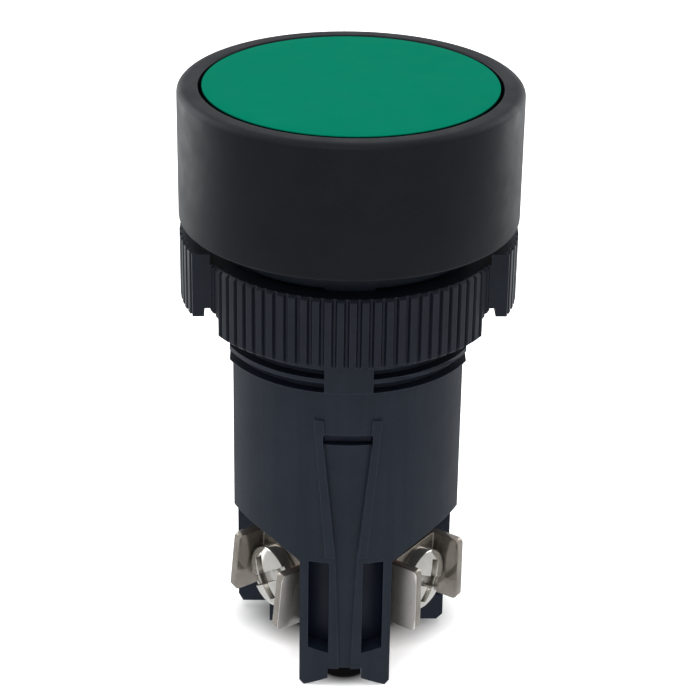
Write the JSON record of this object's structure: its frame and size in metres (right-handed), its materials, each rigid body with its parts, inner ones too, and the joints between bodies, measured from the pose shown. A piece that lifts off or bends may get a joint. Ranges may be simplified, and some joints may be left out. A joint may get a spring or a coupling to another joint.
{
  "type": "panel push button",
  "caption": "Flush round push button for a 22 mm panel hole, with a threaded barrel, an eared ring nut and two screw clamps.",
  "frame": {"origin": "on the button's axis, in the plane of the gasket's underside, where it meets the panel's front face", "axes": "+Z along the axis from the panel towards the cap; -Y towards the side with the two screw clamps; +X to the right of the clamps seen from -Y"},
  "size_m": [0.0292, 0.0292, 0.0528],
  "materials": {
    "black_plastic": "satin black moulded plastic",
    "nut_plastic": "satin black moulded plastic",
    "block_plastic": "satin blue-black moulded plastic",
    "black_rubber": "matte rubber",
    "green_plastic": "fine matte moulded plastic",
    "ivory_plastic": "satin moulded plastic",
    "spring_steel": "drawn wire",
    "copper": "bright rolled copper alloy",
    "silver": "polished silver alloy",
    "nickel_plate": "bright nickel on pressed sheet",
    "nickel_screw": "bright nickel on steel"
  },
  "bodies": {
    "housing": {"bezel": "black_plastic", "panel_gasket": "black_rubber", "barrel": "black_plastic", "plunger_seal": "black_rubber", "contact_block": "block_plastic", "block_cover": "ivory_plastic", "fixed_contact_left": "copper", "fixed_contact_right": "copper", "fixed_tip_left": "silver", "fixed_tip_right": "silver"},
    "nut": {"ring_nut": "nut_plastic"},
    "button": {"cap": "green_plastic", "plunger": "ivory_plastic", "contact_carrier": "ivory_plastic", "return_spring": "spring_steel", "contact_spring": "spring_steel"},
    "bridge": {"contact_bridge": "copper", "bridge_tip_left": "silver", "bridge_tip_right": "silver"},
    "clamp_left": {"terminal_clamp_left": "nickel_plate"},
    "screw_left": {"terminal_screw_left": "nickel_screw"},
    "clamp_right": {"terminal_clamp_right": "nickel_plate"},
    "screw_right": {"terminal_screw_right": "nickel_screw"}
  },
  "joints": [
    {"name": "button_press", "type": "slide", "parent": "housing", "child": "button", "axis": [0, 0, 1], "range_m": [-0.004, 0], "stiffness_N_per_m": 900, "springref_m": 0.004, "deforming": ["return_spring"]},
    {"name": "bridge_float", "type": "slide", "parent": "button", "child": "bridge", "axis": [0, 0, 1], "range_m": [0, 0.00152], "deforming": ["contact_spring"]},
    {"name": "nut_turn", "type": "hinge", "parent": "housing", "child": "nut", "pos_m": [0, 0, -0.005], "axis": [0, 0, 1], "range_deg": [-720, 720]},
    {"name": "clamp_left_slide", "type": "slide", "parent": "housing", "child": "clamp_left", "axis": [-0.809, -0.5878, 0], "range_m": [-0.00165, 0]},
    {"name": "screw_left_turn", "type": "hinge", "parent": "clamp_left", "child": "screw_left", "pos_m": [0, 0, -0.03315], "axis": [-0.809, -0.5878, 0], "range_deg": [-991, 0]},
    {"name": "clamp_right_slide", "type": "slide", "parent": "housing", "child": "clamp_right", "axis": [0.809, -0.5878, 0], "range_m": [-0.00225, 0]},
    {"name": "screw_right_turn", "type": "hinge", "parent": "clamp_right", "child": "screw_right", "pos_m": [0, 0, -0.03315], "axis": [0.809, -0.5878, 0], "range_deg": [-1351, 0]}
  ],
  "couplings": [
    {"joint": "bridge_float", "follows": "button_press", "ratio": -0.38},
    {"joint": "screw_left_turn", "follows": "clamp_left_slide", "rad_per_m": 10472},
    {"joint": "screw_right_turn", "follows": "clamp_right_slide", "rad_per_m": 10472}
  ]
}
